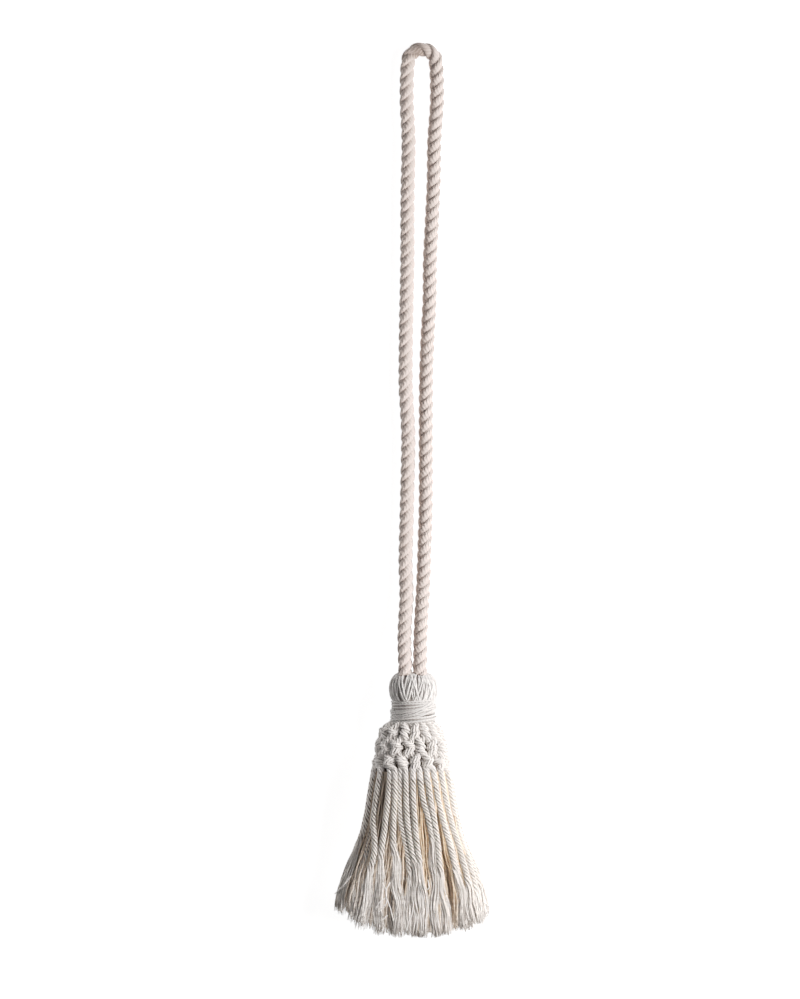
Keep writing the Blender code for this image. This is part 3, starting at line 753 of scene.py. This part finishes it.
def yarn_lines(cords, heights, phase, reach, lock_width, lock_depth, crimp):
    """Lines of yarns in their cords: on a circle while laid, and spread into a flat lock below, with a crimp.

    At cord turn w the yarn is (reach cos(w + phase), reach sin(w + phase)) across and outward. As it spreads,
    these go over to lock_width 2/pi asin(cos) and lock_depth sin, with a wave of its own on both.
    """
    turn = read_along(cord_turn, cords, heights) + phase
    loose = read_along(spread, cords, heights)
    wave = 2 * math.pi * heights / rng.uniform(0.014, 0.026, phase.shape) + 7 * phase
    sway = LOCK_SWAY * np.sin(2 * math.pi * heights / 0.034 + 2.4 * cords)
    across = (1 - loose) * reach * np.cos(turn) + loose * (
        sway + lock_width * 2 / math.pi * np.arcsin(np.cos(turn)) + crimp * np.sin(wave))
    outward = (1 - loose) * reach * np.sin(turn) + loose * (lock_depth * np.sin(turn) + crimp * np.cos(wave))
    middle = read_along(cord_line, cords, heights)
    lines = (middle + across[..., None] * read_along(cord_across, cords, heights)
             + outward[..., None] * read_along(cord_outward, cords, heights))
    return lines, read_along(cord_outward, cords, heights), middle


def seam_shade(skin, middle, seam, crown, strength):
    """Painted shade between a cord's yarns: strength at distance seam from its middle, none at crown."""
    distance = np.linalg.norm(skin - middle[:, :, None], axis=-1)
    return strength * np.clip((crown - distance) / (crown - seam), 0, 1)


def lit_side_warmth(skin):
    """A painted warm tint of the light on the cotton, growing towards the lit right side."""
    return 0.16 * eased(0.0, 0.035, skin[..., 0])


collar_cotton = cotton(
    "collar_cord", pale=(0.78, 0.74, 0.715), shaded=(0.65, 0.61, 0.575), warm=(0.42, 0.33, 0.26),
    seam=(0.09, 0.075, 0.062), plies=2, ply_pitch=0.0030, ply_height=0.00010, fibre_height=0.00010)
cords, yarns = np.meshgrid(np.arange(ALL_CORDS), np.arange(CORD_YARNS), indexing="ij")
cords, yarns = cords.reshape(-1, 1), yarns.reshape(-1, 1)
yarn_phase = 2 * math.pi * (yarns + rng.uniform(-0.12, 0.12, yarns.shape)) / CORD_YARNS + 1.7 * cords
yarn_tone = rng.uniform(-1, 1, yarns.shape)

knotted = cords[:, 0] < CORDS
knot_heights = np.linspace(KNOTTED_FROM, KNOTTED_TO, 56)
knot_yarns, knot_out, knot_middle = yarn_lines(
    cords[knotted], knot_heights, yarn_phase[knotted], KNOT_FULLNESS * YARN_OFFSET,
    lock_width=0.0, lock_depth=0.0, crimp=0.0)
knot_yarns = above_table(knot_yarns, YARN_RADIUS)
knot_skin = swept(knot_yarns, knot_out, *round_section(knot_yarns.shape[:2], KNOT_FULLNESS * YARN_RADIUS, 6))
knot_groove = seam_shade(knot_skin, knot_middle, seam=0.0016, crown=0.0021, strength=KNOT_SEAM_SHADE)
wrapped_row, wrapped_pair = np.nonzero(rng.uniform(0, 1, knots) < WRAPPED_SHARE)
wrap_part = np.linspace(-1, 1, 22)
wraps = (len(wrapped_row), 1)
wrap_slant = rng.choice([-1, 1], wraps) * rng.uniform(0.0004, 0.0024, wraps)
wrap_y = (COLLAR_TOP - ROW_HEIGHT * (wrapped_row[:, None] + rng.uniform(0.35, 0.6, wraps))
          + rng.uniform(-0.0006, 0.0018, wraps) * (1 - wrap_part**2) + wrap_slant * wrap_part)
wrap_middle = (2 * wrapped_pair[:, None] + 1 - wrapped_row[:, None] % 2) / CORDS
wrap_length = rng.uniform(0.0026, 0.0036, wraps)
wrap_share = wrap_middle + wrap_length * wrap_part / way_round(COLLAR, wrap_y, CORD_RADIUS)
wrap_depth = CORD_RADIUS + WRAP_END_DEPTH - WRAP_RISE * (1 - wrap_part**2)
wrap_lines, wrap_out = on_section(COLLAR, wrap_y, wrap_depth, wrap_share)
wrap_lines, wrap_out = (np.repeat(array, CORD_YARNS, axis=0) for array in (wrap_lines, wrap_out))
wrap_across, wrap_outward = frames(wrap_lines, wrap_out)
wrap_yarn = np.arange(len(wrap_lines))[:, None] / CORD_YARNS
wrap_turn = 2 * math.pi * (walked_along(wrap_lines) / CORD_PITCH + wrap_yarn)[..., None]
wrap_yarns = wrap_lines + WRAP_YARN_OFFSET * (
    np.cos(wrap_turn) * wrap_across + np.sin(wrap_turn) * wrap_outward)
wrap_yarns = above_table(wrap_yarns, WRAP_YARN_RADIUS)
wrap_skin = swept(wrap_yarns, wrap_outward, *round_section(wrap_yarns.shape[:2], WRAP_YARN_RADIUS, 6))
wrap_groove = seam_shade(wrap_skin, wrap_lines, seam=0.0014, crown=0.0018, strength=WRAP_SEAM_SHADE)
wrap_core = swept(above_table(wrap_lines[::CORD_YARNS], WRAP_CORE), wrap_outward[::CORD_YARNS],
                  *round_section((len(wrapped_row), len(wrap_part)), WRAP_CORE, 6))
core_lines = above_table(read_along(cord_line, cord_number, knot_heights), COLLAR_CORE)
core_skin = swept(core_lines, read_along(cord_outward, cord_number, knot_heights),
                  *round_section(core_lines.shape[:2], COLLAR_CORE, 6))
# Painted shade: in the seams between yarns and over the dark cores, heavier on the left.
knot_skins = [knot_skin, core_skin, wrap_skin, wrap_core]
tube_piece("collar_knots", knot_skins, collar_cotton, "collar_cord", ["knotted_collar"],
           shade=[rng.uniform(-0.5, 0.5, (len(skin), 1)) + np.zeros(skin.shape[:2]) for skin in knot_skins],
           deep=[lit_side_warmth(skin) for skin in knot_skins],
           groove=[groove * shade_kept_left(skin, edge=0.020, kept=0.3, start=-0.014)
                   for skin, groove in zip(knot_skins, (knot_groove, 1, wrap_groove, 1))])

lock_half = rng.uniform(*LOCK_HALF, (ALL_CORDS, 1))
for cord, half_width in NARROW_LOCKS.items():
    lock_half[cord] = half_width
end_x = read_along(cord_line, cords, NEAR_HEM + 0 * cords)[..., 0] + rng.uniform(-0.004, 0.004, cords.shape)
lock_end = rng.uniform(-0.0006, 0.0012, (ALL_CORDS, 1))
yarn_end = hem_at(end_x) + lock_end[cords[:, 0]] + rng.uniform(-0.0004, 0.0035, cords.shape)
share_down = np.linspace(0, 1, 84)
laid_end = unlaid_at - 0.012
laid_part = np.minimum(share_down / LAID_RINGS, 1)
loose_part = np.maximum((share_down - LAID_RINGS) / (1 - LAID_RINGS), 0)
hang_heights = FRINGE_TOP + (laid_end[cords[:, 0]] - FRINGE_TOP) * laid_part + (
    yarn_end - laid_end[cords[:, 0]]) * loose_part
yarn_jitter = rng.uniform(0.8, 1.15, cords.shape)
hang_yarns, hang_yarn_out, hang_middle = yarn_lines(
    cords, hang_heights, yarn_phase, YARN_OFFSET,
    lock_width=0.8 * lock_half[cords[:, 0]] * yarn_jitter, lock_depth=0.0014, crimp=0.0004)
end_taper = 1 - 0.45 * eased(0.9, 1.0, share_down)
hang_loose = read_along(spread, cords, hang_heights)
hang_radius = YARN_RADIUS * (1 - 0.5 * hang_loose) * end_taper
hang_yarns = above_table(hang_yarns, hang_radius)
hang_skin = swept(hang_yarns, hang_yarn_out, *round_section(hang_yarns.shape[:2], hang_radius, 8))
# Painted shade between a cord's yarns, heavier on the left, gone where the yarns spread.
hang_groove = seam_shade(hang_skin, hang_middle, seam=0.00182, crown=0.00214, strength=0.92)
hang_groove *= shade_kept_left(hang_skin, edge=0.036, kept=0.4) * (1 - hang_loose)[..., None]
fringe_cord = np.arange(ALL_CORDS)[:, None]
fringe_core_heights = FRINGE_TOP + (laid_end - FRINGE_TOP) * np.linspace(0, 1, 30)
fringe_core = read_along(cord_line, fringe_cord, fringe_core_heights)
fringe_core_skin = swept(fringe_core, read_along(cord_outward, fringe_cord, fringe_core_heights),
                         *round_section(fringe_core.shape[:2], FRINGE_CORE, 6))
fringe_cotton = cotton(
    "fringe_cord", pale=(0.88, 0.825, 0.775), shaded=(0.76, 0.695, 0.635), warm=(0.46, 0.35, 0.26),
    seam=(0.09, 0.062, 0.045), plies=2, ply_pitch=0.0032, ply_height=0.00010, fibre_height=0.00010)
in_back = (fringe_cord[:, 0] >= BEHIND) & (fringe_cord[:, 0] < CORDS)
for name, cores in (("fringe_cords_front", ~in_back), ("fringe_cords_back", in_back)):
    picked = cores[cords[:, 0]]
    yarn_skin, core_skin = hang_skin[picked], fringe_core_skin[cores]
    # The cores are painted darker and warmer, as shade inside the cords.
    at_cores = np.ones(core_skin.shape[:2])
    tube_piece(name, [yarn_skin, core_skin], fringe_cotton, "collar_cord", ["knotted_collar"],
               shade=[np.broadcast_to(yarn_tone[picked] * 0.6, yarn_skin.shape[:2]), -0.6 * at_cores],
               deep=[lit_side_warmth(yarn_skin), 0.4 * at_cores],
               groove=[hang_groove[picked], shade_kept_left(core_skin, edge=0.036, kept=0.5)])


# Fine threads: where the cords come unlaid, their yarns open into thinner threads that fill the locks, and a
# few of them stray over their neighbours.

FRONT_THREADS, BACK_THREADS = 44, 30  # to a cord
THREAD_RADIUS, STRAY_RADIUS = 0.00036, 0.00038
THREAD_REACH = 0.0012  # from its cord's middle where it leaves the cord
STRAY_RINGS = 28
PAINTED_LIGHT_SLOPE = 12.0  # how much paler threads are painted for each metre to the right, towards the light
# Painted shade: the lock of inner cord 35 is made darker, as it lies in shade.
SHADED_LOCK, SHADED_BY = 35, 0.6
SHADED_ENDS, END_SHADE = 0.45, 0.8  # share of the threads whose ends are painted dark, as the shade under them, and how dark
thread_cords = np.repeat(np.arange(ALL_CORDS), np.where(in_back, BACK_THREADS, FRONT_THREADS))[:, None]
thread_phase = rng.uniform(0, 2 * math.pi, thread_cords.shape)
thread_top = unlaid_at[thread_cords[:, 0]] + 0.002
thread_x = read_along(cord_line, thread_cords, NEAR_HEM + 0 * thread_cords)[..., 0]
thread_end = hem_at(thread_x + rng.uniform(-0.004, 0.004, thread_cords.shape)) + lock_end[thread_cords[:, 0]]
thread_end += rng.exponential(0.0014, thread_cords.shape) - 0.0016
thread_part = np.linspace(0, 1, 20)
thread_heights = thread_top + (thread_end - thread_top) * thread_part
thread_share = np.sqrt(rng.uniform(0.05, 1, thread_cords.shape))
threads, thread_out, _ = yarn_lines(
    thread_cords, thread_heights, thread_phase, THREAD_REACH,
    lock_width=1.1 * lock_half[thread_cords[:, 0]] * thread_share, lock_depth=0.0018 * thread_share,
    crimp=rng.uniform(0.0001, 0.00035, thread_cords.shape))
thread_radius = THREAD_RADIUS * (1 - 0.5 * eased(0.85, 1.0, thread_part))
threads = above_table(threads, thread_radius)
thread_skin = swept(threads, thread_out, *round_section(threads.shape[:2], thread_radius, 3))
thread_cotton = cotton(
    "fringe_thread", pale=(0.85, 0.81, 0.775), shaded=(0.63, 0.60, 0.57), warm=(0.58, 0.45, 0.33),
    seam=(0.16, 0.125, 0.095), plies=1, ply_pitch=0.0040, ply_height=0.00006, fibre_height=0.00006)
thread_tone = rng.uniform(-1, 1, thread_cords.shape) - SHADED_BY * (thread_cords == SHADED_LOCK)
STRAYS = [  # x, y and height of single threads that have strayed over the front or out at the side, in tenths
    [(-194, -524, 345), (-171, -578, 352), (-171, -621, 352), (-213, -655, 348), (-240, -701, 335)],
    [(-171, -621, 354), (-144, -686, 350), (-121, -778, 335)],
    [(-144, -524, 345), (-171, -578, 356), (-167, -655, 353), (-224, -725, 338)],
    [(-159, -740, 340), (-194, -775, 335)],
    [(84, -537, 335), (100, -569, 350), (116, -553, 350), (108, -506, 335)],
    [(13, -648, 348), (5, -727, 346), (-18, -782, 340), (-34, -845, 325)],
    [(-405, -486, 290), (-455, -548, 255), (-513, -609, 190)],
    [(-305, -755, 310), (-359, -794, 265)],
    [(480, -660, 250), (508, -682, 220), (532, -698, 190)],
    [(487, -709, 200), (513, -755, 170)],
    [(417, -755, 250), (448, -797, 220)],
    [(-440, -470, 230), (-470, -570, 225), (-490, -640, 210)],
]
stray_lines = []
for stray in STRAYS:
    line = even_line(np.array(stray) / TENTHS, 0.0001)
    stray_lines.append(line[np.linspace(0, len(line) - 1, STRAY_RINGS).astype(int)])
stray_skin = swept(np.array(stray_lines), np.array([0.0, 0.0, 1.0]),
                   *round_section((len(STRAYS), STRAY_RINGS), STRAY_RADIUS, 5))
# Some threads are darker at random, and this darkening is painted heavier on the left, as shade.
thread_groove = 0.6 * np.clip(-1.3 * thread_tone - 0.3, 0, 1)[..., None]
thread_groove = thread_groove * shade_kept_left(thread_skin, edge=0.036, kept=0.25)
shaded_tip = END_SHADE * (7 * thread_phase % 1 < SHADED_ENDS) * eased(0.90, 1.0, thread_part)
thread_groove = np.maximum(thread_groove, shaded_tip[..., None])
# Painted light: threads grow paler towards the lit right and darker towards the left.
thread_shade = thread_tone + PAINTED_LIGHT_SLOPE * thread_x + 0 * thread_part
thread_in_back = in_back[thread_cords[:, 0]]
for name, picked, strays in (("fringe_threads_front", ~thread_in_back, stray_skin),
                             ("fringe_threads_back", thread_in_back, stray_skin[:0])):
    unshaded = np.zeros(strays.shape[:2])
    tube_piece(name, [thread_skin[picked], strays], thread_cotton, "collar_cord", ["knotted_collar"],
               shade=[thread_shade[picked], unshaded + 1], deep=[lit_side_warmth(thread_skin[picked]), unshaded],
               groove=[thread_groove[picked], unshaded])


# The bundle: the loose yarn of the tassel, which comes down from the neck inside the collar and hangs behind
# the cords, in the shade. Its core fills the neck and the collar.

BUNDLE_TOP = 0.0215
BUNDLE_THREAD_RADIUS = 0.00052
BUNDLE_LAYERS = [  # count, depth under the skirt at the collar and at the hem
    (150, 0.0029, 0.0025),
    (130, 0.0062, 0.0056),
    (100, 0.0100, 0.0088),
    (80, 0.0135, 0.0112),
]
CORE_SIDES = 60
CORE = np.array([  # columns as in SKIRT
    (190, 205, 138, 197),
    (300, 190, 142, 185),
    (450, 150, 135, 165),
    (534, 118, 118, 155),
    (690, 120, 120, 155),
]) / TENTHS
skins, tones, deeps, painted_shades = [], [], [], []
for count, top_depth, hem_depth in BUNDLE_LAYERS:
    share = (np.arange(count)[:, None] + rng.uniform(-0.45, 0.45, (count, 1))) / count
    drift = rng.uniform(-0.012, 0.012, (count, 1))
    end_points, _ = on_section(SKIRT, np.full((count, 1), HEM_Y), np.full((count, 1), hem_depth), share)
    end = hem_at(end_points[..., 0]) + rng.uniform(-0.0005, 0.007, (count, 1))
    part = np.linspace(0, 1, 20)
    y = BUNDLE_TOP + (end - BUNDLE_TOP) * part
    depth = np.interp(y, (HEM_Y, 0.02), (hem_depth, top_depth)) + rng.uniform(-0.0006, 0.0006, (count, 1))
    wave = 2 * math.pi * y / rng.uniform(0.018, 0.036, (count, 1)) + rng.uniform(0, 6.3, (count, 1))
    depth = depth + 0.0004 * np.cos(wave)
    lines, out = on_section(SKIRT, y, depth, share + drift * part + 0.0022 * np.sin(wave))
    radius = BUNDLE_THREAD_RADIUS * (1 - 0.4 * eased(0.9, 1.0, part))
    lines = above_table(lines, radius)
    skins.append(swept(lines, out, *round_section(lines.shape[:2], radius, 3)))
    tones.append(np.broadcast_to(rng.uniform(-1, 1, (count, 1)), skins[-1].shape[:2]))
    # Painted light and shade: threads are warmer to the right, where light enters the gaps, darker to the
    # left.
    unshaded = eased(-0.022, 0.012, lines[..., 0])
    deeps.append(np.interp(part, (0, 0.6, 1), (0.9, 0.85, 0.35)) * (0.55 + 0.45 * unshaded))
    painted_shades.append(0.4 * (1 - unshaded) * (1 - 0.6 * part))
# The core is a skin painted dark and warm, as the shade inside the bundle.
core_side = np.arange(CORE_SIDES)
core_y = CORE[::-1, :1] + 0 * core_side
core_points, _ = on_section(CORE, core_y, 0.0006 * (core_side % 2), core_side / CORE_SIDES + 0 * core_y)
skins.append(core_points[None, :, ::-1])
tones.append(np.zeros((1, len(CORE))))
deeps.append(np.ones((1, len(CORE))))
painted_shades.append(np.full((1, len(CORE)), 0.9))
bundle_cotton = cotton(
    "bundle_thread", pale=(0.76, 0.72, 0.685), shaded=(0.64, 0.58, 0.52), warm=(0.95, 0.69, 0.46),
    seam=(0.10, 0.08, 0.065), plies=2, ply_pitch=0.0040, ply_height=0.00008, fibre_height=0.00008)
tube_piece("bundle_threads", skins, bundle_cotton, "bundle_yarn", ["yarn_bundle"],
           shade=tones, deep=deeps, groove=painted_shades)


bpy.context.view_layer.update()
